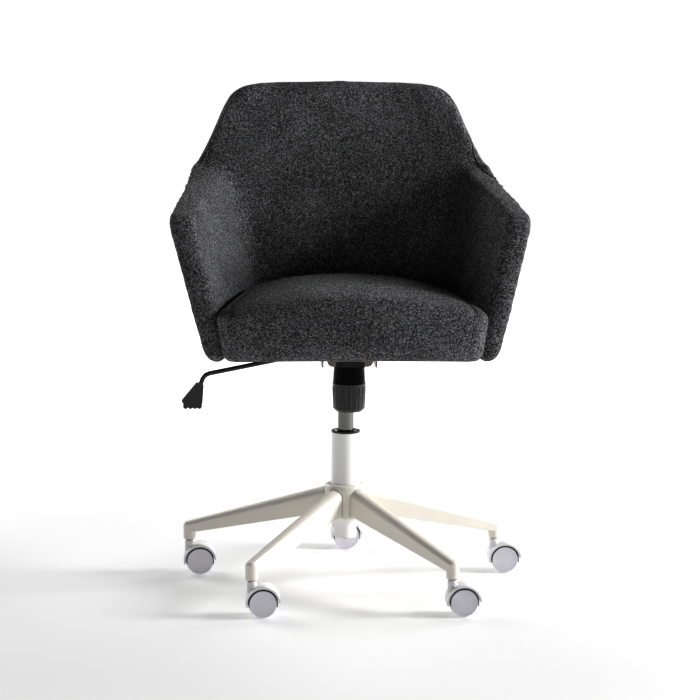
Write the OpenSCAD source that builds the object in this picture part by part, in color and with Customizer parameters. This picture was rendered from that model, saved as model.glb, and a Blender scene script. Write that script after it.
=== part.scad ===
// Swivel office armchair: upholstered tub seat on a rocking mechanism, gas lift
// and five-leg steel base with twin-wheel casters.
// Millimetres. Z is up, the origin is on the floor under the swivel axis, the
// sitter faces -Y and the lever is on the -X side. Drawn at full height, upright.

/* [Base] */
// radius of the circle on which the caster stems stand
base_r = 290; // [240:1:340]
// outside diameter of the hub
hub_d = 73; // [60:1:90]
// height of the top of the hub above the floor
hub_top = 182; // [150:1:220]
// leg height where it leaves the hub
leg_h_in = 46; // [30:1:60]
// leg height where it meets the caster socket
leg_h_out = 18; // [12:1:30]
// leg width where it leaves the hub
leg_w_in = 30; // [20:1:40]
// diameter of the vertical caster socket
socket_d = 22; // [18:1:30]

/* [Casters] */
// wheel diameter
wheel_d = 50; // [40:1:65]
// distance from the stem axis to the axle
trail = 19; // [12:1:25]
// overall width of the twin wheels
caster_w = 44; // [34:1:60]

/* [Gas lift] */
// outer column diameter
col_d = 50; // [50:1:60]
// height of the column's top
col_top = 274; // [240:1:320]
// gas cylinder diameter
cyl_d = 28; // [25:1:30]
// height travel of the seat
stroke = 110; // [60:5:120]

/* [Mechanism] */
// outside width of the pressed housing
house_w = 79; // [70:1:90]
// distance of the tension bolt in front of the column
bolt_y = 95; // [80:1:110]
// largest diameter of the tension knob
knob_d = 58; // [45:1:65]
// height of the tension knob
knob_h = 48.5; // [35:1:60]

/* [Seat] */
// underside height of the tub
seat_z = 440; // [400:1:480]
// half width between the centres of the lower front corners
low_front = 201; // [180:1:220]
// half width between the centres of the lower rear corners
low_rear = 130; // [110:1:160]
// thickness of the padded wall
wall = 40; // [30:1:50]
// radius of the inside corners
in_r = 30; // [20:1:50]
// height of the top of the back
back_top = 878; // [800:1:920]
// crown height of the seat cushion
crown_z = 560; // [540:1:580]

/* [Hidden] */
$fn = 64;
e = 0.01;
stem_b = 62.8;                 // underside of the socket liner's flange
axle_z = wheel_d / 2;
hub_r = hub_d / 2;
hub_bot = hub_top - 58;
leg_top_in = hub_top - 7;
leg_top_out = 94;
pivot_y = -36;
pivot_z = 420;
floor_z = 410;                 // underside of the housing
socket_low = 390;              // lower rim of the taper socket
plate_z = seat_z - 2.5;        // underside of the seat plate
cone_top = 414;
knob_top = 377;
foam_fn = 36;

white = [0.93, 0.92, 0.89];
black = [0.07, 0.07, 0.075];
steel = [0.72, 0.72, 0.73];
chrome = [0.80, 0.81, 0.83];
cloth = [0.27, 0.27, 0.28];
wood = [0.76, 0.62, 0.44];
disc = [0.86, 0.86, 0.90];

function leg_a(n) = 90 + 72 * (n - 1);
module at_leg(n) { rotate([0, 0, leg_a(n)]) children(); }
module each_leg() { for (n = [1:5]) at_leg(n) children(); }

// ---------------------------------------------------------------- base

// upright outline with a round top, in the plane across the leg
module leg_section(w, h) {
  translate([-w / 2, 0]) square([w, h - w / 2]);
  translate([0, h - w / 2]) circle(d = w);
}

module leg_slab(x, w, h, top, t = 1) {
  translate([x, 0, top - h]) rotate([90, 0, 90]) linear_extrude(t) leg_section(w, h);
}

module base_leg(n) {
  color(white) at_leg(n) difference() {
    union() {
      // tapering pressed tube running out to the mitred socket
      hull() {
        leg_slab(hub_r - 1, leg_w_in, leg_h_in, leg_top_in, $fn = 40);
        translate([base_r, 0, leg_top_out - leg_h_out])
          cylinder(d = socket_d, h = leg_h_out - 5, $fn = 40);
        translate([base_r, 0, leg_top_out - 5])
          cylinder(d1 = socket_d, d2 = socket_d - 7, h = 5, $fn = 40);
      }
      // tenon that stands in the hub's pocket
      leg_slab(hub_r - 7, leg_w_in, leg_h_in, leg_top_in, 7.5);
      translate([base_r, 0, 64]) cylinder(d = socket_d, h = 20);
    }
    translate([base_r, 0, 60]) cylinder(r = 8, h = 29);
    // inside of the tube
    hull() {
      leg_slab(hub_r - 8, leg_w_in - 5, leg_h_in - 5, leg_top_in - 2.5, $fn = 32);
      leg_slab(base_r - 20, socket_d - 8, leg_h_out - 7, leg_top_out - 2, $fn = 32);
    }
  }
}

module base_hub() {
  color(white) difference() {
    union() {
      translate([0, 0, hub_bot]) cylinder(r = hub_r, h = 52.5);
      translate([0, 0, hub_top - 5.5]) cylinder(r1 = hub_r, r2 = hub_r - 1, h = 2.5);
      translate([0, 0, hub_top - 3]) cylinder(r1 = hub_r - 1, r2 = hub_r - 2.8, h = 2);
      translate([0, 0, hub_top - 1]) cylinder(r1 = hub_r - 2.8, r2 = hub_r - 4.8, h = 1);
    }
    translate([0, 0, hub_bot - 1]) cylinder(r = 23.8, h = 1 + e);
    translate([0, 0, hub_bot]) cylinder(r1 = 23.8, r2 = col_d / 2, h = 58 + e);
    translate([0, 0, hub_top]) cylinder(r = col_d / 2, h = 5);
    // pockets for the leg ends
    each_leg() leg_slab(hub_r - 7, leg_w_in + 2.2, leg_h_in + 2.2, leg_top_in + 1.1, 20);
  }
}

module socket_liners() {
  color([0.85, 0.85, 0.86]) each_leg() translate([base_r, 0, 0]) difference() {
    union() {
      translate([0, 0, stem_b]) cylinder(r = 9.6, h = 64 - stem_b);
      translate([0, 0, 64]) cylinder(r = 8, h = 24);
    }
    translate([0, 0, 60]) cylinder(r = 5.5, h = 26);
  }
}

module caster_stems() {
  color(chrome) each_leg() translate([base_r, 0, 0]) union() {
    translate([0, 0, stem_b]) cylinder(r = 5.5, h = 22);
    translate([0, 0, stem_b + 22]) cylinder(r1 = 5.5, r2 = 4, h = 1.2);
    translate([0, 0, 60.9]) cylinder(r = 7, h = stem_b - 60.9 + e);
    translate([0, 0, 48.8]) cylinder(r = 4, h = 13);
  }
}

// ---------------------------------------------------------------- gas lift

module outer_column() {
  color(white) difference() {
    union() {
      translate([0, 0, hub_top]) cylinder(d = col_d, h = col_top - hub_top);
      translate([0, 0, hub_bot]) cylinder(r1 = 23.8, r2 = col_d / 2, h = 58);
      translate([0, 0, hub_bot - 4]) cylinder(r1 = 20, r2 = 23.8, h = 4);
      translate([0, 0, 86]) cylinder(r = 20, h = hub_bot - 90 + e);
    }
    translate([0, 0, 90]) cylinder(r = 17.5, h = 12.01);
    translate([0, 0, 102]) cylinder(r = 18, h = 200);
    translate([0, 0, 204]) cylinder(r = 23.5, h = 200);
    translate([0, 0, 80]) cylinder(r = 6, h = 20);
  }
}

module guide_sleeve() {
  color([0.2, 0.2, 0.21]) difference() {
    union() {
      translate([0, 0, 204]) cylinder(r = 23.5, h = col_top - 204);
      translate([0, 0, 150]) cylinder(r = 18, h = 54 + e);
    }
    translate([0, 0, 140]) cylinder(d = cyl_d + 0.1, h = 200);
  }
}

module column_ring() {
  color(black) difference() {
    union() {
      translate([0, 0, col_top]) cylinder(d = col_d + 1, h = 3);
      translate([0, 0, col_top + 3]) cylinder(r1 = 20, r2 = 18.5, h = 2);
    }
    translate([0, 0, col_top - 1]) cylinder(d = cyl_d + 0.6, h = 10);
  }
}

module thrust_bearing() {
  color(steel) {
    difference() {
      translate([0, 0, 90]) cylinder(r = 14, h = 1.5);
      translate([0, 0, 89]) cylinder(r = 6, h = 5);
    }
    for (a = [0:45:359]) rotate([0, 0, a]) translate([9.5, 0, 92.9]) sphere(r = 1.4, $fn = 24);
  }
}

module piston_rod() {
  color(chrome) union() {
    // bearing washer, threaded end and the rod itself
    translate([0, 0, 94.3]) cylinder(r = 13, h = 2.2);
    translate([0, 0, 82]) cylinder(r = 4.95, h = 14);
    translate([0, 0, 94.3]) cylinder(r = 5, h = 130);
    translate([0, 0, 222]) cylinder(r = 12.4, h = 14);
  }
}

module rod_clip() {
  color(steel) difference() {
    translate([0, 0, 83.6]) cylinder(r = 9, h = 2.1);
    translate([0, 0, 83]) cylinder(r = 4.95, h = 4);
  }
}

module gas_cylinder() {
  color(chrome) difference() {
    union() {
      translate([0, 0, 214]) cylinder(d = cyl_d, h = 384 - 214);
      translate([0, 0, 384]) cylinder(r1 = cyl_d / 2, r2 = 13, h = cone_top - 384);
    }
    translate([0, 0, 216]) cylinder(r = 12.5, h = 150);
    translate([0, 0, 210]) cylinder(r = 5.1, h = 10);
    translate([0, 0, 360]) cylinder(r = 4.05, h = 60);
  }
}

module valve_button() {
  color(steel) union() {
    translate([0, 0, 368]) cylinder(r = 4, h = 51);
    translate([0, 0, 419]) cylinder(r1 = 4, r2 = 3, h = 1);
  }
}

// ---------------------------------------------------------------- casters

// one caster's own frame: stem axis on the origin, axle towards +X
module at_caster(n) { at_leg(n) translate([base_r, 0, 0]) rotate([0, 0, -leg_a(n)]) children(); }

module cross_y(r, w, y0) {
  translate([trail, y0, axle_z]) rotate([-90, 0, 0]) cylinder(r = r, h = w);
}

module caster_housing(n) {
  hw = caster_w / 2;
  color(white) at_caster(n) difference() {
    union() {
      // hood over the wheels, cut off on a slightly tilted line
      intersection() {
        cross_y(axle_z + 4.5, caster_w, -hw);
        translate([trail, 0, axle_z]) rotate([0, -8, 0])
          translate([-60, -60, -1.5]) cube([120, 120, 60]);
      }
      cross_y(9, 8, -4);
      translate([0, 0, 40]) cylinder(r = 8.5, h = 18.8);
      translate([0, 0, 58.8]) cylinder(r1 = 8.5, r2 = 7, h = 1.9);
    }
    // room for the wheels on both sides of the fin
    cross_y(axle_z + 1.3, 60, 4);
    cross_y(axle_z + 1.3, 60, -64);
    cross_y(3, 60, -30);
    translate([0, 0, 48]) cylinder(r = 4.05, h = 20);
  }
}

module caster_axle(n) {
  color(steel) at_caster(n) cross_y(3, caster_w - 12, -(caster_w - 12) / 2);
}

module wheel(n, side) {
  hw = caster_w / 2;
  tw = hw - 5;
  color(disc) at_caster(n) translate([trail, 0, axle_z]) rotate([side > 0 ? -90 : 90, 0, 0])
    translate([0, 0, 4.6]) difference() {
      union() {
        // tread, then the narrower face disc that stands in front of it
        translate([0, 0, 1.2]) cylinder(r = axle_z, h = tw - 8.2);
        cylinder(r1 = axle_z - 1.2, r2 = axle_z, h = 1.2);
        translate([0, 0, tw - 7]) cylinder(r1 = axle_z, r2 = axle_z - 1.2, h = 1.2);
        cylinder(r = axle_z - 1.9, h = tw - 0.8);
        translate([0, 0, tw - 0.8]) cylinder(r1 = axle_z - 1.9, r2 = axle_z - 2.7, h = 0.8);
      }
      // bored for the axle, hollowed behind the face and lightly dished in front
      translate([0, 0, -1]) cylinder(r = 3.05, h = tw - 3.4);
      translate([0, 0, -1]) difference() {
        cylinder(r = axle_z - 5, h = tw - 5);
        cylinder(r = 7, h = tw);
      }
      translate([0, 0, tw - 0.6]) cylinder(r = axle_z - 4.2, h = 1);
    }
}

// ---------------------------------------------------------------- mechanism

module x_rod(r, x0, x1, y, z) {
  translate([x0, y, z]) rotate([0, 90, 0]) cylinder(r = r, h = x1 - x0);
}

// side outline of the housing's walls, in Y and Z
module house_side(lift) {
  polygon([[-128, floor_z + lift], [54, floor_z + lift], [54, 413.5], [46, 416.5],
    [-34, 434], [-128, 434]]);
}

module u_section(w, r, z0, h) {
  translate([-w / 2, z0 + r]) square([w, h - r]);
  translate([-w / 2 + r, z0]) square([w - 2 * r, h]);
  for (s = [-1, 1]) translate([s * (w / 2 - r), z0 + r]) circle(r = r);
}

module mechanism_housing() {
  color(steel) difference() {
    intersection() {
      difference() {
        translate([0, 54, 0]) rotate([90, 0, 0]) linear_extrude(182)
          u_section(house_w, 10, floor_z, 60);
        translate([0, 51, 0]) rotate([90, 0, 0]) linear_extrude(176)
          u_section(house_w - 6, 7, floor_z + 3, 60);
      }
      translate([-80, 0, 0]) rotate([90, 0, 90]) linear_extrude(160) house_side(0);
    }
    translate([0, 0, 380]) cylinder(r = 19, h = 60);
    translate([0, -bolt_y, 380]) cylinder(r = 6.5, h = 60);
    x_rod(5, -60, 60, pivot_y, pivot_z);
    // notch for the lever's saddle and the lock's sliding blade
    translate([-60, -7, 415.4]) cube([30, 44.5, 40]);
  }
}

module taper_socket() {
  color([0.18, 0.18, 0.19]) difference() {
    union() {
      translate([0, 0, 384]) cylinder(r = 19, h = cone_top - 384);
      translate([0, 0, floor_z - 5]) cylinder(r = 24, h = 5);
    }
    translate([0, 0, 384]) cylinder(r1 = cyl_d / 2, r2 = 13, h = cone_top - 384);
    translate([0, 0, 380]) cylinder(d = cyl_d, h = 4 + e);
    // the rim stops above the column's ring when the seat is down
    translate([0, 0, 380]) cylinder(r = 30, h = socket_low - 380);
    translate([0, 0, cone_top]) cylinder(r = 13, h = 4);
  }
}

module pivot_pin() {
  color(steel) union() {
    x_rod(5, -51, 51, pivot_y, pivot_z);
    x_rod(8, -51, -48, pivot_y, pivot_z);
    x_rod(8, 48, 51, pivot_y, pivot_z);
  }
}

module pivot_bushes() {
  color(black) for (s = [0, 1]) mirror([s, 0, 0]) difference() {
    x_rod(8, house_w / 2, 44.9, pivot_y, pivot_z);
    x_rod(5, 30, 60, pivot_y, pivot_z);
  }
}

module tilt_lock_slider() {
  color([0.3, 0.3, 0.31]) difference() {
    union() {
      translate([-36, -6.5, 416]) cube([10, 13, 11.2]);
      // blade beside the cone
      translate([-35.5, 6.4, 416]) cube([3, 30, 4]);
    }
    translate([-60, -3.8, 419.3]) cube([60, 7.6, 20]);
    translate([-31, -20, 423.7]) rotate([-90, 0, 0]) cylinder(r = 1.5, h = 20);
    translate([-31, 0, 423.7]) rotate([-90, 0, 0]) cylinder(r = 1.5, h = 6.5 + e);
  }
}

module ball(x, z, r) { translate([x, 0, z]) sphere(r = r, $fn = 20); }
module bent(x0, z0, x1, z1, r = 4.1) { hull() { hull() ball(x0, z0, r); hull() ball(x1, z1, r); } }
module rod_to(x0, z0, x1, z1) {
  l = sqrt(pow(x1 - x0, 2) + pow(z1 - z0, 2));
  translate([x0, 0, z0]) rotate([0, atan2(x1 - x0, z1 - z0), 0]) cylinder(r = 4.2, h = l);
}

module lever_rod() {
  color(black) union() {
    bent(10.5, 423.7, -46, 423.7, 3.5);
    bent(-46, 423.7, -66, 414, 3.5);
    bent(-66, 414, -240, 378.8);
    bent(-240, 378.8, -247, 376);
    bent(-247, 376, -251.5, 370.5);
    bent(-251.5, 370.5, -261, 346);
    // rocking pin through the saddle
    translate([-31, -6.5, 423.7]) rotate([-90, 0, 0]) cylinder(r = 1.42, h = 13);
  }
}

module lever_grip() {
  color(black) difference() {
    translate([0, 6, 0]) rotate([90, 0, 0]) linear_extrude(12) union() {
      polygon([[-264, 362], [-254, 362], [-250.4, 358], [-252.6, 326], [-254, 321.5],
        [-284.5, 321.5], [-289.4, 331]]);
      for (x = [-282, -273.6, -265.6, -258]) translate([x, 321]) circle(r = 4.6);
    }
    // socket that takes the rod's bent end
    translate([0, 0, 0.1]) rod_to(-251.5, 370.5, -263, 340.8);
  }
}

module tension_bolt() {
  color(steel) translate([0, -bolt_y, 0]) union() {
    // round cross head that rocks on the seat plate
    x_rod(5, -13, 13, 0, seat_z + 5.2);
    translate([0, 0, 330]) cylinder(r = 5, h = seat_z + 5 - 330);
  }
}

module tension_knob() {
  color(black) translate([0, -bolt_y, knob_top - knob_h]) difference() {
    intersection() {
      union() {
        translate([0, 0, 5]) cylinder(r1 = knob_d / 2 - 1.5, r2 = knob_d / 2, h = knob_h - 17);
        translate([0, 0, knob_h - 12]) cylinder(r = knob_d / 2, h = 12);
        cylinder(r1 = knob_d / 2 - 6.5, r2 = knob_d / 2 - 1.5, h = 5);
      }
    }
    translate([0, 0, 9]) cylinder(r = knob_d / 2 - 5.5, h = knob_h);
    // the bolt's end turns freely in the knob's floor
    translate([0, 0, -1]) cylinder(r = 5.05, h = 12);
    for (a = [0:20:359]) rotate([0, 0, a]) translate([knob_d / 2 + 2, 0, -1])
      cylinder(r = 3.9, h = knob_h - 3, $fn = 24);
  }
}

module pressure_plate() {
  color(steel) translate([0, -bolt_y, 341]) difference() {
    cylinder(r = 22.5, h = 5);
    translate([0, 0, -1]) cylinder(r = 5.05, h = 7);
  }
}

// coil drawn as separate rings: it shortens with the tilt
module tilt_spring() {
  n = 7;
  z0 = 346.6 + 3;
  z1 = floor_z - 3.6;
  color(steel) translate([0, -bolt_y, 0]) {
    for (i = [0:n - 1]) translate([0, 0, z0 + (z1 - z0) * i / (n - 1)])
      rotate_extrude() translate([15.5, 0]) circle(r = 3, $fn = 24);
    for (i = [0:n - 2]) rotate([0, 0, 130 * i]) translate([15.5, 0, z0 + (z1 - z0) * i / (n - 1)])
      cylinder(r = 2.2, h = (z1 - z0) / (n - 1));
  }
}

module spring_boot() {
  n = 9;
  h = floor_z - 0.6 - knob_top - 0.6;
  p = h / n;
  color(black) translate([0, -bolt_y, knob_top + 0.6]) difference() {
    union() for (i = [0:n - 1]) translate([0, 0, p * i]) {
      cylinder(r1 = 26.2 - 0.18 * i, r2 = 28.2 - 0.22 * i, h = p * 0.5 + e);
      translate([0, 0, p * 0.5]) cylinder(r1 = 28.2 - 0.22 * i, r2 = 26.2 - 0.18 * i, h = p * 0.5 + e);
    }
    translate([0, 0, -1]) cylinder(r = 23.4, h = h + 3);
  }
}

// ---------------------------------------------------------------- seat

bolt_xy = [[-65, -130], [65, -130], [-65, 84], [65, 84]];

module seat_plate() {
  color(steel) difference() {
    union() {
      difference() {
        translate([-80, -150, plate_z]) cube([160, 252, 2.5]);
        for (sx = [-1, 1], y = [-150, 102]) translate([sx * 80, y, plate_z - 1])
          rotate([0, 0, 45]) cube([24, 24, 12], center = true);
      }
      for (s = [0, 1]) mirror([s, 0, 0]) {
        translate([45, 0, 0]) rotate([90, 0, 90]) linear_extrude(2.5)
          polygon([[-112, 408], [-106, 405], [-24, 405], [-12, 414], [-12, plate_z + 1],
            [-112, plate_z + 1]]);
        translate([45, 0, 0]) rotate([90, 0, 90]) linear_extrude(2.5)
          polygon([[12, 424], [64, 424], [80, plate_z + 1], [12, plate_z + 1]]);
      }
    }
    x_rod(5.05, -60, 60, pivot_y, pivot_z);
    // slot for the tension bolt and opening over the gas lift
    translate([-5.6, -bolt_y - 12, 430]) cube([11.2, 18, 20]);
    translate([-38, -16, 430]) cube([60, 48, 20]);
    for (b = bolt_xy) translate([b[0], b[1], 430]) cylinder(r = 3.3, h = 20);
  }
}

module plate_bolts() {
  color(steel) for (b = bolt_xy) translate([b[0], b[1], 0]) union() {
    translate([0, 0, plate_z - 4]) cylinder(r = 5.5, h = 4, $fn = 6);
    translate([0, 0, plate_z - e]) cylinder(r = 2.95, h = 12);
  }
}

module t_nuts() {
  color(steel) for (b = bolt_xy) translate([b[0], b[1], 0]) difference() {
    union() {
      translate([0, 0, seat_z + 1]) cylinder(r = 4.5, h = 9.6);
      translate([0, 0, seat_z + 10.5]) cylinder(r = 9, h = 1.5);
    }
    translate([0, 0, seat_z - 1]) cylinder(r = 3, h = 20);
  }
}

screw_y = [-150, 0, 120];
function lower_x(y) = low_rear - 20 + (low_front - low_rear) / 336 * (142 - y);

// A right-hand outline, lowest point first, closed with its own mirror image.
function both_sides(p) = concat(p, [for (i = [len(p) - 1:-1:0]) [-p[i][0], p[i][1]]]);

module seat_board() {
  y0 = -224;
  y1 = 187.6;
  color(wood) difference() {
    translate([0, 0, seat_z]) linear_extrude(12) difference() {
      polygon(both_sides([[200, y0], [206, y0 + 8], [210, y0 + 20],
        [lower_x(-196) + 45.5, -196], [lower_x(142) + 45.5, 142], [lower_x(142) + 40, 163],
        [lower_x(142) + 26, 179.5], [lower_x(142) + 6, y1]]));
      translate([-16, -bolt_y - 18]) square([32, 30]);
      translate([-42, -20]) square([68, 58]);
      for (b = bolt_xy) translate([b[0], b[1]]) circle(r = 4.5);
    }
    for (b = bolt_xy) translate([b[0], b[1], seat_z + 10.5]) cylinder(r = 9, h = 3);
    for (s = [0, 1], y = screw_y) mirror([s, 0, 0])
      x_rod(2, lower_x(y) + 18, lower_x(y) + 60, y, seat_z + 6);
  }
}

module dust_cover() {
  y0 = -222;
  color([0.1, 0.1, 0.1]) translate([0, 0, seat_z - 1]) linear_extrude(1) difference() {
    polygon(both_sides([[196, y0], [204, y0 + 18], [lower_x(-190) + 38, -190],
      [lower_x(142) + 38, 142], [lower_x(142) + 10, 180]]));
    translate([-82, -152]) square([164, 256]);
  }
}

// Convex body of the tub, k outside the inner face. With "deep", the body runs
// straight on below the seat, and with "open" it runs out above and in front.
module tub(k, deep, open) {
  r = in_r + k;
  s = (low_front - low_rear) / 336;
  y_f = -320;
  hull() {
    for (m = [-1, 1]) {
      hull() {
        translate([m * low_rear, 160, 500]) sphere(r = r, $fn = foam_fn);
        translate([m * (low_rear + s * (160 - y_f)), y_f, 500]) sphere(r = r, $fn = foam_fn);
      }
      hull() {
        translate([m * 188, 187, 725]) sphere(r = r, $fn = foam_fn);
        translate([m * 299, y_f, 725]) sphere(r = r, $fn = foam_fn);
      }
      hull() {
        translate([m * 135, 202, 842]) sphere(r = r, $fn = foam_fn);
        if (open) translate([m * 90, 216, 960]) sphere(r = r, $fn = foam_fn);
      }
      if (deep) hull() {
        translate([m * lower_x(142), 142, 425]) cylinder(r = r, h = 20, $fn = foam_fn);
        translate([m * lower_x(y_f), y_f, 425]) cylinder(r = r, h = 20, $fn = foam_fn);
      }
    }
    if (open) translate([0, -320, 960]) cube([300, 10, 10], center = true);
  }
}

// Outlines that trim the tub, drawn in by "inset" and starting at height zb
module side_trim(inset, zb) {
  i = inset;
  translate([-500, 0, 0]) rotate([90, 0, 90]) linear_extrude(1000)
    polygon([
      [-204 + i, zb], [-200 + i, 455], [-180 + i, 520], [-150 + i, 600],
      [-136 + i, 640], [-128 + i, 660 - i], [-112 + i, 670 - i], [-60, 681 - i],
      [30, 701 - i], [110, 722 - i], [150, 738 - i], [184 + i * 0.6, 763 - i],
      [204 + i, 801], [214 + i, 855], [220 + i, 960], [420, 960], [420, zb]
    ]);
}

module front_trim(inset) {
  i = inset;
  h = back_top - inset;
  translate([0, 500, 0]) rotate([90, 0, 0]) linear_extrude(1000)
    for (m = [0, 1]) mirror([m, 0]) polygon([
      [-1, 300], [400, 300], [400, 728 - i], [262 - i, 730 - i], [247 - i, 758 - i * 0.5],
      [231 - i, 792], [217 - i, h - 52], [211 - i, h - 38], [203 - i, h - 26], [191 - i, h - 16],
      [176 - i, h - 9], [150 - i, h - 4.5], [100, h - 1.5], [0, h], [-1, h]]);
}

module trimmed(inset, zb) {
  intersection() {
    children();
    side_trim(inset, zb);
    front_trim(inset);
  }
}

module screw_set(r, x0, x1) {
  for (s = [0, 1], y = screw_y) mirror([s, 0, 0])
    x_rod(r, lower_x(y) + x0, lower_x(y) + x1, y, seat_z + 6, $fn = 24);
}

module core_body() {
  intersection() {
    trimmed(9, seat_z + 1) tub(26, true, false);
    tub(wall - 4, false, false);
  }
}

module shell_core() {
  color(wood) difference() {
    core_body();
    tub(16, true, true);
    screw_set(2, 10, 80);
    screw_set(4.4, 54, 80);
  }
}

module shell_screws() {
  color(steel) {
    screw_set(1.98, 19, 54.5);
    screw_set(4, 54.1, 56.3);
  }
}

module inner_upholstery() {
  color(cloth) difference() {
    trimmed(0, seat_z + 13) tub(16, true, false);
    tub(0, true, true);
    // hollow the cushion settles into
    cushion_body(0.8);
  }
}

module outer_cover() {
  color(cloth) difference() {
    trimmed(0, seat_z) tub(wall, false, false);
    tub(16, true, true);
    core_body();
    screw_set(4.6, 45, 58);
  }
}

module cushion_body(grow) {
  hull() {
    for (m = [-1, 1]) {
      translate([m * 196, -222, 471]) sphere(r = 34 + grow, $fn = foam_fn);
      translate([m * 198, -217, 503]) sphere(r = 32 + grow, $fn = foam_fn);
      translate([m * 128, 158, 480]) sphere(r = 28 + grow, $fn = foam_fn);
      translate([m * 128, 158, 505]) sphere(r = 28 + grow, $fn = foam_fn);
    }
    translate([0, -70, crown_z - 1]) cylinder(r = 90, h = 1, $fn = foam_fn);
    translate([0, -215, crown_z - 32]) sphere(r = 25 + grow, $fn = foam_fn);
  }
}

module seat_cushion() {
  color(cloth) difference() {
    cushion_body(0);
    translate([-400, -225, 400]) cube([800, 700, seat_z + 12.4 - 400]);
  }
}

// ---------------------------------------------------------------- output

base_hub();
for (n = [1:5]) {
  base_leg(n);
  caster_housing(n);
  caster_axle(n);
  wheel(n, -1);
  wheel(n, 1);
}
socket_liners();
caster_stems();
outer_column();
guide_sleeve();
column_ring();
thrust_bearing();
piston_rod();
rod_clip();
gas_cylinder();
valve_button();
taper_socket();
mechanism_housing();
pivot_pin();
pivot_bushes();
tilt_lock_slider();
lever_rod();
lever_grip();
tension_bolt();
tension_knob();
pressure_plate();
tilt_spring();
spring_boot();
seat_plate();
plate_bolts();
t_nuts();
seat_board();
dust_cover();
shell_core();
shell_screws();
inner_upholstery();
outer_cover();
seat_cushion();
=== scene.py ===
# Swivel office armchair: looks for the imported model. Metres, Z up, the sitter faces -Y.
import math

import bmesh
import bpy
import numpy as np
from mathutils import Matrix, Vector


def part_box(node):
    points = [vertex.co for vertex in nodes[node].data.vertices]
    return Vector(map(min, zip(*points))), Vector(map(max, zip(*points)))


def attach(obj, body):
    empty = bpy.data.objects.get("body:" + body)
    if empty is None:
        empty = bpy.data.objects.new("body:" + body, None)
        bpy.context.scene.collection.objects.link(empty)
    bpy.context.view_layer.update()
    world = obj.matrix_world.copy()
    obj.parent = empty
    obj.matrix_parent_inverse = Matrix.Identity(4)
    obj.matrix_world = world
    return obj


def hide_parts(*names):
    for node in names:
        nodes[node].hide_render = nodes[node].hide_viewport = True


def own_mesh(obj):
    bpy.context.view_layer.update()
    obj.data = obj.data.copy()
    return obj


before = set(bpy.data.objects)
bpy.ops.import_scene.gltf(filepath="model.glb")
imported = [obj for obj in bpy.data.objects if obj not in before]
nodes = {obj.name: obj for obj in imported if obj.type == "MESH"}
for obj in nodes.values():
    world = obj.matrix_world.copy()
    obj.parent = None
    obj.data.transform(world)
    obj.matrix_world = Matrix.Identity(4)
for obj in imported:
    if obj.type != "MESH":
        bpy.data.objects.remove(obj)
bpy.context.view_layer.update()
scene = bpy.context.scene
FIVE = range(1, 6)


# ------------------------------------------------------------------ camera
def make_camera():
    """A long lens a little to the sitter's right of straight ahead, looking slightly down."""
    turn, pan, pitch, roll = (math.radians(a) for a in (-3.18, 0.08, 8.63, 0.41))
    ahead = Vector((math.sin(pan) * math.cos(pitch), math.cos(pitch), -math.sin(pitch)))
    level = ahead.cross(Vector((0, 0, 1))).normalized()
    upright = level.cross(ahead)
    right = level * math.cos(roll) + upright * math.sin(roll)
    up = upright * math.cos(roll) - level * math.sin(roll)
    m = Matrix((right, up, -ahead)).transposed().to_4x4()
    m.translation = Vector((0, -4.784, 1.146))
    cam = bpy.data.objects.new("camera", bpy.data.cameras.new("camera"))
    scene.collection.objects.link(cam)
    cam.matrix_world = Matrix.Rotation(turn, 4, "Z") @ m
    cam.data.sensor_width = 36
    cam.data.lens = 141.5
    cam.data.clip_end = 250  # past the far end of the studio floor
    scene.camera = cam


make_camera()


# ------------------------------------------------------------------ materials
class Shader:
    """Builds one node material round its Principled shader, in the object's own coordinates."""

    def __init__(self, name):
        self.mat = bpy.data.materials.new(name)
        self.mat.use_nodes = True
        self.tree = self.mat.node_tree
        self.bsdf = self.tree.nodes["Principled BSDF"]
        self.coords = self.tree.nodes.new("ShaderNodeTexCoord").outputs["Object"]

    def put(self, **values):
        """Sets constant socket values. An underscore in a key stands for a space."""
        for key, value in values.items():
            self.bsdf.inputs[key.replace("_", " ")].default_value = value
        return self

    def new(self, kind, **props):
        n = self.tree.nodes.new("ShaderNode" + kind)
        for key, value in props.items():
            setattr(n, key, value)
        return n

    def link(self, a, b):
        self.tree.links.new(a, b)

    def noise(self, scale, detail=2.0, rough=0.5, stretch=None, source=None):
        n = self.new("TexNoise")
        n.inputs["Scale"].default_value = scale
        n.inputs["Detail"].default_value = detail
        n.inputs["Roughness"].default_value = rough
        src = source or self.coords
        if stretch:
            m = self.new("Mapping")
            m.inputs["Scale"].default_value = stretch
            self.link(src, m.inputs["Vector"])
            src = m.outputs["Vector"]
        self.link(src, n.inputs["Vector"])
        return n.outputs["Fac"]

    def math(self, op, a, b=0.0, c=None):
        n = self.new("Math", operation=op)
        for i, v in enumerate((a, b) if c is None else (a, b, c)):
            if isinstance(v, (int, float)):
                n.inputs[i].default_value = v
            else:
                self.link(v, n.inputs[i])
        return n.outputs[0]

    def ramp(self, fac, stops):
        n = self.new("ValToRGB")
        while len(n.color_ramp.elements) < len(stops):
            n.color_ramp.elements.new(0.5)
        for e, (pos, col) in zip(n.color_ramp.elements, stops):
            e.position = pos
            e.color = (*col, 1)
        self.link(fac, n.inputs["Fac"])
        return n.outputs["Color"]

    def colour(self, out):
        self.link(out, self.bsdf.inputs["Base Color"])

    def rough(self, fac, low, high):
        """Roughness from low to high, following fac."""
        n = self.new("MapRange")
        n.inputs["To Min"].default_value = low
        n.inputs["To Max"].default_value = high
        self.link(fac, n.inputs["Value"])
        self.link(n.outputs[0], self.bsdf.inputs["Roughness"])

    def bump(self, height, strength, distance):
        n = self.new("Bump")
        n.inputs["Strength"].default_value = strength
        n.inputs["Distance"].default_value = distance
        self.link(height, n.inputs["Height"])
        self.link(n.outputs["Normal"], self.bsdf.inputs["Normal"])


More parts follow.
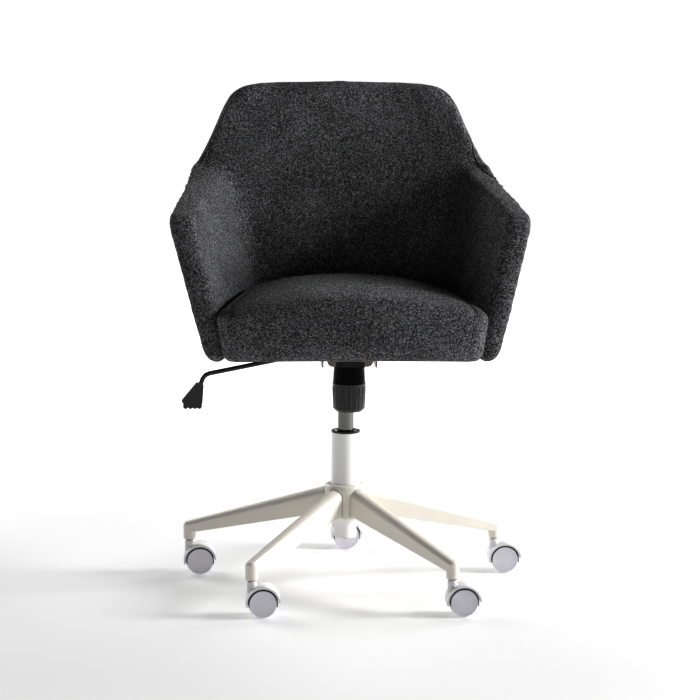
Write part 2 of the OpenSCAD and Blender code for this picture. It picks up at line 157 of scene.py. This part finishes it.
def cloth_material(name, dark, mid, light, pitch=0.0019):
    """Melange woven wool: crossing yarns, dark and light fibres mixed along each yarn."""
    s = Shader(name).put(Roughness=0.92, Specular_IOR_Level=0.12, Sheen_Weight=0.04,
                         Sheen_Roughness=0.35)
    sep = s.new("SeparateXYZ")
    s.link(s.coords, sep.inputs[0])
    x, y, z = sep.outputs
    across = s.math("MULTIPLY_ADD", y, 0.62, x)
    along = s.math("MULTIPLY_ADD", y, 0.55, z)
    k = math.tau / pitch
    warp = s.math("SINE", s.math("MULTIPLY", across, k))
    weft = s.math("SINE", s.math("MULTIPLY", along, k))
    weave = s.math("MULTIPLY_ADD", s.math("MULTIPLY", warp, weft), 0.5, 0.5)
    # fibres: fine along the weft, fine along the warp, and a broader heather
    f1 = s.noise(1.0, 2.0, 0.6, (330, 330, 900))
    f2 = s.noise(1.0, 2.0, 0.6, (900, 900, 330))
    f3 = s.noise(230, 3.0, 0.6)
    f4 = s.noise(11, 2.0, 0.5)
    f5 = s.noise(1.0, 2.0, 0.6, (430, 110, 430))
    mix = s.math("MULTIPLY_ADD", f1, 0.50, s.math("MULTIPLY", f2, 0.50))
    for fibre, share in ((f3, 0.20), (f4, 0.10), (f5, 0.46), (weave, 0.10)):
        mix = s.math("ADD", mix, s.math("MULTIPLY", s.math("SUBTRACT", fibre, 0.5), share))
    s.colour(s.ramp(mix, [(0.39, dark), (0.51, mid), (0.63, light)]))
    height = s.math("ADD", s.math("MULTIPLY", weave, 0.6), s.math("MULTIPLY", f1, 0.8))
    s.bump(height, 0.55, 0.0006)
    return s.mat


def paint_material(name, colour, rough=0.38, grain=900):
    """Powder coat: faint orange peel and a little unevenness of tone."""
    s = Shader(name).put(Specular_IOR_Level=0.45)
    tone = s.noise(14, 3.0)
    lo = tuple(c * 0.965 for c in colour)
    s.colour(s.ramp(tone, [(0.35, lo), (0.65, colour)]))
    s.rough(s.noise(60, 3.0), rough - 0.05, rough + 0.08)
    s.bump(s.noise(grain, 2.0), 0.10, 0.0004)
    return s.mat


def plastic_material(name, colour, rough=0.35, grain=1600, bump=0.12, spec=0.5):
    """Moulded plastic or rubber: a fine grain and slight unevenness of tone and gloss."""
    s = Shader(name).put(Specular_IOR_Level=spec)
    tone = s.noise(40, 3.0)
    lo = tuple(c * 0.9 for c in colour)
    s.colour(s.ramp(tone, [(0.3, lo), (0.7, colour)]))
    s.rough(s.noise(140, 4.0), rough - 0.06, rough + 0.12)
    s.bump(s.noise(grain, 3.0), bump, 0.0003)
    return s.mat


def metal_material(name, colour, rough=0.28, streak=(1, 1, 1), spangle=0.06):
    """Plated or blackened metal. streak stretches its grain, spangle is its spread of tone."""
    s = Shader(name).put(Metallic=1.0)
    tone = s.noise(1.0, 4.0, 0.6, tuple(60 * k for k in streak))
    lo = tuple(c * (1 - spangle * 2) for c in colour)
    s.colour(s.ramp(tone, [(0.3, lo), (0.7, colour)]))
    s.rough(s.noise(1.0, 5.0, 0.65, tuple(240 * k for k in streak)), rough * 0.7, rough * 1.5)
    s.bump(s.noise(1.0, 3.0, 0.6, tuple(500 * k for k in streak)), 0.08, 0.0002)
    return s.mat


def ply_material(name):
    """Birch ply with its grain along X."""
    s = Shader(name).put(Roughness=0.6)
    grain = s.noise(1.0, 6.0, 0.6, (12, 160, 160))
    s.colour(s.ramp(grain, [(0.3, (0.36, 0.23, 0.12)), (0.7, (0.60, 0.43, 0.25))]))
    s.bump(grain, 0.2, 0.0006)
    return s.mat


CLOTH = cloth_material("melange_cloth", (0.006, 0.006, 0.0065), (0.047, 0.047, 0.0495),
                       (0.270, 0.270, 0.278))
SEAM = cloth_material("seam_thread", (0.015, 0.015, 0.016), (0.05, 0.05, 0.053),
                      (0.15, 0.15, 0.155))
IVORY = paint_material("ivory_powder_coat", (0.79, 0.75, 0.675))
WHITE = paint_material("white_powder_coat", (0.86, 0.86, 0.845), 0.34)
HOOD = plastic_material("white_nylon", (0.84, 0.84, 0.85), 0.36)
DISC = plastic_material("wheel_face", (0.80, 0.785, 0.85), 0.40)
NYLON = plastic_material("liner_nylon", (0.70, 0.70, 0.72), 0.45)
BLACK = plastic_material("black_moulding", (0.004, 0.004, 0.0045), 0.18, 1200, 0.02, 0.36)
RUBBER = plastic_material("black_rubber", (0.006, 0.006, 0.006), 0.38, 2200, 0.2, 0.30)
CHROME = metal_material("chrome_plate", (0.14, 0.14, 0.137), 0.09, (1, 1, 0.2), 0.01)
ZINC = metal_material("zinc_plate", (0.60, 0.60, 0.61), 0.30)
BRONZE = metal_material("passivated_steel", (0.115, 0.095, 0.082), 0.30)
DARK = metal_material("blackened_steel", (0.10, 0.10, 0.11), 0.4)
PLY = ply_material("plywood")
DUST = cloth_material("dust_cloth", (0.006, 0.006, 0.006), (0.012, 0.012, 0.012),
                      (0.03, 0.03, 0.03), 0.0012)


def dress(mat, *names):
    """Gives CAD nodes one material."""
    for n in names:
        o = nodes[n]
        o.data.materials.clear()
        o.data.materials.append(mat)


dress(IVORY, "base_hub", *[f"base_leg_{i}" for i in FIVE])
dress(WHITE, "outer_column")
dress(NYLON, "socket_liners")
dress(CHROME, "caster_stems", "gas_cylinder", "piston_rod")
dress(HOOD, *[f"caster_housing_{i}" for i in FIVE])
dress(DISC, *[f"wheel_{i}_{s}" for i in FIVE for s in ("left", "right")])
dress(ZINC, "thrust_bearing", "rod_clip", "valve_button", "pivot_pin",
      "tension_bolt", "pressure_plate", "tilt_spring", "plate_bolts", "t_nuts",
      "shell_screws", *[f"caster_axle_{i}" for i in FIVE])
dress(BRONZE, "mechanism_housing", "seat_plate")
dress(DARK, "taper_socket", "tilt_lock_slider")
dress(BLACK, "guide_sleeve", "column_ring", "pivot_bushes", "lever_rod", "lever_grip",
      "tension_knob")
dress(RUBBER, "spring_boot")
dress(PLY, "shell_core")
dress(DUST, "dust_cover", "seat_board")
dress(CLOTH, "inner_upholstery", "outer_cover", "seat_cushion")


# ------------------------------------------------------------------ mesh helpers
def add_mesh(name, verts, faces, mat, smooth=True):
    """A new object from vertices and faces, with its normals made consistent."""
    me = bpy.data.meshes.new(name)
    me.from_pydata([tuple(v) for v in verts], [], faces)
    me.update()
    bm = bmesh.new()
    bm.from_mesh(me)
    bmesh.ops.recalc_face_normals(bm, faces=bm.faces)
    bm.to_mesh(me)
    bm.free()
    me.materials.append(mat)
    o = bpy.data.objects.new(name, me)
    scene.collection.objects.link(o)
    if smooth:
        me.shade_smooth()
    return o


def lathe(name, centre, loop, mat, seg=96):
    """A closed loop of (radius, height) turned round a vertical axis."""
    verts, faces, n = [], [], len(loop)
    for i in range(seg):
        a = math.tau * i / seg
        for r, z in loop:
            verts.append((centre[0] + r * math.cos(a), centre[1] + r * math.sin(a), z))
    for i in range(seg):
        for j in range(n):
            p, q = i * n, ((i + 1) % seg) * n
            k = (j + 1) % n
            faces.append((p + j, q + j, q + k, p + k))
    return add_mesh(name, verts, faces, mat)


def tube(name, path, radius, mat, sides=10):
    """A round tube with closed ends along a list of points."""
    pts = [Vector(p) for p in path]
    n = len(pts)
    verts, faces = [], []
    normal = None
    for i, p in enumerate(pts):
        t = (pts[min(i + 1, n - 1)] - pts[max(i - 1, 0)]).normalized()
        if normal is None:
            normal = t.cross(Vector((0.3, 0.2, 1))).normalized()
        normal = (normal - t * normal.dot(t)).normalized()
        side = t.cross(normal)
        for k in range(sides):
            w = math.tau * k / sides
            verts.append(p + (normal * math.cos(w) + side * math.sin(w)) * radius)
    for i in range(n - 1):
        for k in range(sides):
            p, q = i * sides, (i + 1) * sides
            k2 = (k + 1) % sides
            faces.append((p + k, p + k2, q + k2, q + k))
    faces.append(tuple(range(sides)))
    faces.append(tuple((n - 1) * sides + k for k in range(sides)))
    return add_mesh(name, verts, faces, mat)


def applied(o, kind, **props):
    """Adds a modifier and bakes it into the object's mesh."""
    m = o.modifiers.new(kind.lower(), kind)
    for key, value in props.items():
        setattr(m, key, value)
    dg = bpy.context.evaluated_depsgraph_get()
    me = bpy.data.meshes.new_from_object(o.evaluated_get(dg))
    o.modifiers.clear()
    old = o.data
    o.data = me
    bpy.data.meshes.remove(old)
    return o


def joined_copy(name, names, mat):
    """One new object from copies of CAD nodes' meshes."""
    bm = bmesh.new()
    for n in names:
        bm.from_mesh(nodes[n].data)
    me = bpy.data.meshes.new(name)
    bm.to_mesh(me)
    bm.free()
    me.materials.clear()
    me.materials.append(mat)
    o = bpy.data.objects.new(name, me)
    scene.collection.objects.link(o)
    return o


def keep_largest(o):
    """Drops loose islands left by a remesh."""
    bm = bmesh.new()
    bm.from_mesh(o.data)
    bm.verts.ensure_lookup_table()
    seen, best = set(), []
    for v in bm.verts:
        if v.index in seen:
            continue
        stack, part = [v], []
        seen.add(v.index)
        while stack:
            w = stack.pop()
            part.append(w)
            for e in w.link_edges:
                u = e.other_vert(w)
                if u.index not in seen:
                    seen.add(u.index)
                    stack.append(u)
        if len(part) > len(best):
            best = part
    keep = {v.index for v in best}
    bmesh.ops.delete(bm, geom=[v for v in bm.verts if v.index not in keep], context="VERTS")
    bm.to_mesh(o.data)
    bm.free()


def coords(o):
    """Vertex positions as an array of rows."""
    v = np.empty(len(o.data.vertices) * 3, np.float32)
    o.data.vertices.foreach_get("co", v)
    return v.reshape(-1, 3).astype(float)


def set_coords(o, v):
    o.data.vertices.foreach_set("co", v.astype(np.float32).ravel())
    o.data.update()


def normals(o):
    """Vertex normals as an array of rows."""
    v = np.empty(len(o.data.vertices) * 3, np.float32)
    o.data.vertices.foreach_get("normal", v)
    return v.reshape(-1, 3).astype(float)


def ramp(a, b, x):
    """Smooth step from 0 at a to 1 at b."""
    t = np.clip((np.asarray(x, float) - a) / (b - a), 0, 1)
    return t * t * (3 - 2 * t)


def round_off(d, r):
    """How far a rounded edge of radius r falls back at a distance d in from the outline."""
    q = np.clip(r - d, 0, r)
    return r - np.sqrt(np.maximum(r * r - q * q, 0))


def spaced(points, step):
    """Points at an even step along a polyline, smoothed a little."""
    p = np.array(points, float)
    s = np.r_[0, np.cumsum(np.linalg.norm(np.diff(p, axis=0), axis=1))]
    t = np.linspace(0, s[-1], max(3, int(round(s[-1] / step)) + 1))
    q = np.column_stack([np.interp(t, s, p[:, k]) for k in range(3)])
    for _ in range(6):
        q[1:-1] = (q[:-2] + q[2:] + 2 * q[1:-1]) / 4
    return q


def on_surface(o, points, lift=0.0):
    """Nearest points on the mesh, with their normals."""
    out, nor = [], []
    for p in points:
        _, where, n, _ = o.closest_point_on_mesh(Vector(p))
        out.append(np.array(where + n * lift))
        nor.append(np.array(n))
    return np.array(out), np.array(nor)


def cast(o, start, way):
    """First hit on the mesh from a start point along a direction, or None."""
    hit, where, _, _ = o.ray_cast(Vector(start), Vector(way))
    return np.array(where) if hit else None


def hits(points):
    """The casts that met the mesh."""
    return [q for q in points if q is not None]


def near_path(v, path, reach):
    """Indices of the vertices within reach of a path, and their distances to it."""
    lo, hi = path.min(0) - reach, path.max(0) + reach
    idx = np.nonzero(((v > lo) & (v < hi)).all(1))[0]
    d = np.full(len(idx), np.inf)
    batch = 64
    for k in range(0, len(path), batch):
        part = path[k:k + batch]
        d = np.minimum(d, np.linalg.norm(v[idx][:, None] - part[None], axis=2).min(1))
    return idx, d


def groove(o, path, depth, width):
    """Presses a soft channel into the mesh along a path."""
    v, n = coords(o), normals(o)
    idx, d = near_path(v, path, width * 3)
    v[idx] -= n[idx] * (depth * np.exp(-(d / width) ** 2))[:, None]
    set_coords(o, v)


def stitches(name, path, nor, mat, body, length=0.0042, gap=0.0016, radius=0.00045):
    """A row of short thread stitches lying along a path."""
    sides = 5
    s = np.r_[0, np.cumsum(np.linalg.norm(np.diff(path, axis=0), axis=1))]
    verts, faces = [], []
    at = 0.0
    while at + length < s[-1]:
        pts = []
        # share of the stitch's length, and its height over the cloth in thread radii
        for share, height in ((0, -0.6), (0.18, 0.5), (0.5, 0.9), (0.82, 0.5), (1, -0.6)):
            t = at + share * length
            p = np.array([np.interp(t, s, path[:, k]) for k in range(3)])
            n = np.array([np.interp(t, s, nor[:, k]) for k in range(3)])
            n /= np.linalg.norm(n)
            pts.append(p + n * radius * height)
        t = pts[-1] - pts[0]
        t /= np.linalg.norm(t)
        side = np.cross(t, n)
        base = len(verts)
        for p in pts:
            for k in range(sides):
                w = math.tau * k / sides
                verts.append(p + (n * math.cos(w) + side * math.sin(w)) * radius)
        for i in range(len(pts) - 1):
            for k in range(sides):
                a, b, k2 = base + i * sides, base + (i + 1) * sides, (k + 1) % sides
                faces.append((a + k, a + k2, b + k2, b + k))
        at += length + gap
    o = add_mesh(name, verts, faces, mat)
    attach(o, body)
    return o


# ------------------------------------------------------------------ tub upholstery
# height, and half width of the back's outline there, seen from the front
OUTLINE = ((0.700, 0.276), (0.716, 0.2665), (0.730, 0.262), (0.758, 0.247), (0.792, 0.231),
           (0.826, 0.217), (0.840, 0.211), (0.852, 0.203), (0.862, 0.191), (0.869, 0.176),
           (0.8735, 0.150), (0.878, 0.0))
BACK_Y, BACK_LEAN, BACK_THICK = 0.2125, 0.12, 0.040
FRONT_EDGE, REAR_EDGE = 0.016, 0.030


def shape_tub(o):
    """Above the arms the padded back runs flat to its outline; the arms' top rims curl into it."""
    v, n = coords(o), normals(o)
    x, z = v[:, 0], v[:, 2]
    share = ramp(0.688, 0.732, z)
    inset = np.interp(z, *zip(*OUTLINE)) - np.abs(x)
    flat = BACK_Y + (z - 0.70) * BACK_LEAN
    front = flat - round_off(np.clip(inset, 0, 1), FRONT_EDGE)
    rear = flat + BACK_THICK - round_off(np.clip(inset, 0, 1), REAR_EDGE)
    outside = np.maximum(n[:, 0] * np.sign(x), n[:, 1]) > 0.3
    goal = np.where(outside, rear, front)
    v[:, 1] += share * np.maximum(0, goal - v[:, 1])
    # the back is dished a little from side to side, and the hem hangs lower
    v[:, 1] -= 0.009 * np.minimum((x / 0.2) ** 2, 1.2) * ramp(0.08, 0.19, v[:, 1])
    v[:, 2] -= 0.009 * ramp(0.475, 0.445, z)
    set_coords(o, v)


tub = joined_copy("tub_upholstery", ["outer_cover", "inner_upholstery", "shell_core"], CLOTH)
applied(tub, "REMESH", mode="VOXEL", voxel_size=0.005)
keep_largest(tub)
shape_tub(tub)
applied(tub, "REMESH", mode="VOXEL", voxel_size=0.0045)
keep_largest(tub)
applied(tub, "SMOOTH", factor=0.5, iterations=26)
v, n = coords(tub), normals(tub)
# the smoothing's loss is given back, and the hem is turned under with a fairly square edge
hem = 2 * np.clip(-n[:, 2], 0, 1) * np.hypot(n[:, 0], n[:, 1]) * ramp(0.475, 0.448, v[:, 2])
v += n * (0.0012 + 0.005 * hem)[:, None]
# the sides draw in a little towards the hem
v[:, 0] *= 1 - 0.045 * np.clip((0.66 - v[:, 2]) / 0.22, 0, 1)
set_coords(tub, v)
tub.data.shade_smooth()
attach(tub, "seat")
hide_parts("outer_cover", "inner_upholstery", "shell_core")

# seam where the outer cover is sewn to the lining: round the arms, up the back and across its top,
# given as (y, z) on the arm's outer side
ARM_SEAM = [(-0.180, 0.447), (-0.158, 0.520), (-0.130, 0.600), (-0.114, 0.634), (-0.096, 0.647),
            (-0.055, 0.658), (0.030, 0.678), (0.100, 0.697), (0.150, 0.715), (0.190, 0.738),
            (0.216, 0.765), (0.228, 0.800), (0.232, 0.835)]
halves = []
for side in (-1, 1):
    dense = spaced([(0, y, z) for y, z in ARM_SEAM], 0.006)
    halves.append(hits(cast(tub, (side, y, z), (-side, 0, 0)) for _, y, z in dense))
across = hits(cast(tub, (x, 0.236, 1.2), (0, 0, -1)) for x in np.linspace(-0.168, 0.168, 50))
seam, nor = on_surface(tub, spaced(halves[0] + across + halves[1][::-1], 0.003), 0.0003)
groove(tub, seam, 0.0020, 0.0050)
seam, nor = on_surface(tub, seam, 0.0004)
welt = tube("tub_welt", seam, 0.0015, CLOTH, sides=8)
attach(welt, "seat")
# two stitched seams up the outside of the back
for side in (-1, 1):
    run = spaced(hits(cast(tub, (side * (0.150 + 0.10 * (z - 0.45)), 1, z), (0, -1, 0))
                      for z in np.linspace(0.450, 0.842, 60)), 0.003)
    groove(tub, run, 0.0018, 0.0045)
    run, nor = on_surface(tub, run, 0.0)
    stitches(f"back_seam_{'left' if side < 0 else 'right'}", run, nor, SEAM, "seat")


# ------------------------------------------------------------------ seat cushion
def squared(x, z, cx, cz, sign, power):
    """Squares the rounded corner about (cx, cz), towards the sides and up or down."""
    dx, dz = np.abs(x) - cx, (z - cz) * sign
    r = np.hypot(dx, dz)
    inside = (dx > 0) & (dz > 0) & (r > 1e-6)
    r = np.where(inside, r, 1)
    c, s = np.where(inside, dx, 1) / r, np.where(inside, dz, 0) / r
    grow = np.where(inside, (np.abs(c) ** power + np.abs(s) ** power) ** (-1 / power), 1)
    return (np.where(inside, np.sign(x) * (cx + dx * grow), x),
            np.where(inside, cz + sign * dz * grow, z))


def shape_cushion(o):
    """Domed top that falls away to the rear, front narrowing a little to its lower edge."""
    v = coords(o)
    x, y, z = v.T
    x, z = squared(x, z, 0.196, 0.471, -1, 5)
    top = 0.561 - 0.019 * (x / 0.16) ** 2 - 0.030 * (np.maximum(y + 0.05, 0) / 0.20) ** 2
    top -= 0.010 * (np.maximum(-0.10 - y, 0) / 0.12) ** 2
    crown = 0.02
    over = z - top
    z = np.where(over > -crown, top - crown + crown * np.tanh((over + crown) / crown), z)
    x = x * (1 - 0.050 * np.clip((0.500 - z) / 0.063, 0, 1) * ramp(-0.05, -0.2, y))
    # the front's lower edge sags, and its corners round back
    low = ramp(-0.16, -0.22, y) * ramp(0.48, 0.44, z)
    z = z - low * (0.0035 + 0.004 * (x / 0.21) ** 2)
    y = y + 0.016 * (x / 0.21) ** 2 * ramp(-0.12, -0.22, y)
    set_coords(o, np.column_stack([x, y, z]))


cushion = joined_copy("cushion", ["seat_cushion"], CLOTH)
applied(cushion, "REMESH", mode="VOXEL", voxel_size=0.005)
shape_cushion(cushion)
applied(cushion, "SMOOTH", factor=0.5, iterations=5)
applied(cushion, "SUBSURF", levels=1, render_levels=1)
cushion.data.shade_smooth()
# a welt along each side of the top, and down the front's corners
for side in (-1, 1):
    top_run = hits(cast(cushion, (side * (0.2075 - 0.25 * (y + 0.2)), y, 1), (0, 0, -1))
                   for y in np.linspace(0.10, -0.215, 24))
    edge = hits(cast(cushion, (side * (0.2075 - 0.14 * (0.535 - z)), -1, z), (0, 1, 0))
                for z in np.linspace(0.528, 0.446, 18))
    seam = spaced(top_run + edge, 0.003)
    groove(cushion, seam, 0.0024, 0.0042)
    seam, _ = on_surface(cushion, seam, 0.0002)
    welt = tube(f"cushion_welt_{'left' if side < 0 else 'right'}", seam, 0.0014, CLOTH, sides=8)
    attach(welt, "seat")
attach(cushion, "seat")
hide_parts("seat_cushion")


# ------------------------------------------------------------------ boot and spring
lo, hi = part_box("spring_boot")
bolt = ((lo.x + hi.x) / 2, (lo.y + hi.y) / 2)


def boot_loop(z0, z1, ridges=11):
    """Section of the bellows wall, ridged outside, from z0 up to z1 and back down inside."""
    steps, wall = ridges * 12, 0.0022
    outer = []
    for i in range(steps + 1):
        t = i / steps
        wave = abs(math.cos(math.pi * ridges * t))
        outer.append((0.0284 - 0.0016 * t - 0.0030 * wave, z0 + (z1 - z0) * t))
    return outer + [(r - wall, z) for r, z in reversed(outer[::3])]


def lip_mesh(corner, width=0.0255, cells=24):
    """A thin ridged flap that curves back at both sides. corner.y and corner.z place its foot."""
    front = []
    for i in range(cells + 1):
        t = i / cells
        wave = 0.0008 * abs(math.cos(math.pi * 3 * t))
        y, z = corner.y - 0.0022 - wave, corner.z - 0.0012 + 0.0095 * t
        for k in range(cells + 1):
            a = math.pi * (k / cells - 0.5)
            front.append((bolt[0] + width * math.sin(a), y + 0.0035 * (1 - math.cos(a)), z))
    back = [(x, y + 0.0014, z) for x, y, z in front]
    m, total = cells + 1, len(front)
    faces = []
    for i in range(cells):
        for k in range(cells):
            a = i * m + k
            faces.append((a, a + 1, a + m + 1, a + m))
            faces.append((total + a, total + a + m, total + a + m + 1, total + a + 1))
    rim = list(range(m)) + [i * m + cells for i in range(1, m)]
    rim += [cells * m + k for k in range(cells - 1, -1, -1)]
    rim += [i * m for i in range(cells - 1, 0, -1)]
    for a, b in zip(rim, rim[1:] + rim[:1]):
        faces.append((a, b, total + b, total + a))
    return front + back, faces


def coil_path(z0, z1, radius=0.0155, turns=6.4, per_turn=28):
    """Centre line of the spring's wire, from its lowest coil up."""
    path = []
    for i in range(int(turns * per_turn) + 1):
        a = i / per_turn
        path.append((bolt[0] + radius * math.cos(a * math.tau),
                     bolt[1] + radius * math.sin(a * math.tau), z0 + (z1 - z0) * a / turns))
    return path


boot = lathe("bellows_boot", bolt, boot_loop(lo.z + 0.0002, hi.z - 0.0002), RUBBER, 72)
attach(boot, "lift")
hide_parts("spring_boot")
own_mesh(boot)

# the boot's upper lip turns up over the front wall of the housing
collar = add_mesh("boot_lip", *lip_mesh(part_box("mechanism_housing")[0]), RUBBER)
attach(collar, "lift")

# the spring is made in two pieces for the knob winding the plate up and the tilt lifting the bolt:
# the lower coils ride with the bolt, the upper ones with the lift
lo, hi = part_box("tilt_spring")
wire, split = 0.003, 70
helix = coil_path(lo.z + wire, hi.z - wire)
upper = tube("coil_spring", helix[split:], wire, ZINC)
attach(upper, "lift")
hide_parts("tilt_spring")
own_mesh(upper)
lower = tube("coil_spring_low", helix[:split + 1], wire, ZINC)
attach(lower, "bolt")
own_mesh(lower)


# ------------------------------------------------------------------ casters
# a painted shadow under the hood: a thin dark tube round the upper half of each wheel's face,
# standing in for the shaded gap between hood and wheel
for i in FIVE:
    low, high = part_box(f"caster_housing_{i}")
    for side in ("left", "right"):
        lo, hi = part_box(f"wheel_{i}_{side}")
        cx, cz, cy = (lo.x + hi.x) / 2, (lo.z + hi.z) / 2, (lo.y + hi.y) / 2
        outward = -1 if cy < (low.y + high.y) / 2 else 1
        face_y = (lo.y if outward < 0 else hi.y) - outward * 0.0012
        radius = 0.0242
        arc = [(cx + radius * math.cos(a), face_y, cz + radius * math.sin(a))
               for a in (math.radians(-12 + 204 * k / 48) for k in range(49))]
        # this dark tube is painted shade for the gap, not a real part of the caster
        lip = tube(f"painted_gap_shadow_{i}_{side}", arc, 0.0009, RUBBER, sides=8)
        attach(lip, f"caster_{i}")


# ------------------------------------------------------------------ light and floor
def area(name, place, aim, size, power):
    """A white area light, aimed at a point."""
    light = bpy.data.lights.new(name, "AREA")
    light.size = size
    light.energy = power
    o = bpy.data.objects.new(name, light)
    scene.collection.objects.link(o)
    o.location = place
    o.rotation_euler = (Vector(aim) - Vector(place)).to_track_quat("-Z", "Y").to_euler()


# place, aim, size in metres, power in watts
LIGHTS = {
    "side": ((3.2, -0.2, 1.75), (0, 0, 0.6), 1.1, 178),
    "rim": ((2.3, 2.4, 2.4), (0, 0, 0.5), 1.5, 62),
    "rear": ((-2.2, 2.4, 2.2), (0, 0, 0.4), 1.8, 84),
}
for light, spec in LIGHTS.items():
    area(light, *spec)

world = bpy.data.worlds.new("studio")
scene.world = world
world.use_nodes = True
background = world.node_tree.nodes["Background"]
background.inputs[0].default_value = (1, 1, 1, 1)
background.inputs[1].default_value = 0.02


def floor_material():
    """Pale floor that glows evenly far from the chair, so it reads as white all round."""
    s = Shader("studio_floor").put(Roughness=0.55, Specular_IOR_Level=0.2,
                                   Emission_Color=(1, 1, 1, 1))
    s.colour(s.ramp(s.noise(3, 2.0), [(0.3, (0.60, 0.60, 0.60)), (0.7, (0.61, 0.61, 0.61))]))
    away = s.new("VectorMath", operation="LENGTH")
    s.link(s.coords, away.inputs[0])
    glow = s.new("MapRange", interpolation_type="SMOOTHSTEP")
    for key, value in (("From Min", 0.7), ("From Max", 2.6), ("To Min", 0.33), ("To Max", 1.0)):
        glow.inputs[key].default_value = value
    s.link(away.outputs["Value"], glow.inputs["Value"])
    s.link(glow.outputs[0], s.bsdf.inputs["Emission Strength"])
    return s.mat


def wall_material():
    """A backdrop that glows white."""
    s = Shader("studio_wall").put(Roughness=0.8, Emission_Color=(1, 1, 1, 1),
                                  Emission_Strength=1.0)
    s.colour(s.ramp(s.noise(0.2, 1.0), [(0.3, (0.02, 0.02, 0.02)), (0.7, (0.03, 0.03, 0.03))]))
    return s.mat


floor = add_mesh("floor", [(-70, -70, 0), (70, -70, 0), (70, 90, 0), (-70, 90, 0)],
                 [(0, 1, 2, 3)], floor_material(), False)
sides, reach = 48, 60
wall = [(reach * math.cos(math.tau * i / sides), reach * math.sin(math.tau * i / sides), h)
        for h in (-0.1, 9.0) for i in range(sides)]
panels = [(i, (i + 1) % sides, sides + (i + 1) % sides, sides + i) for i in range(sides)]
sweep = add_mesh("backdrop", wall, panels, wall_material(), False)

scene.view_settings.view_transform = "Standard"
scene.view_settings.gamma = 0.85
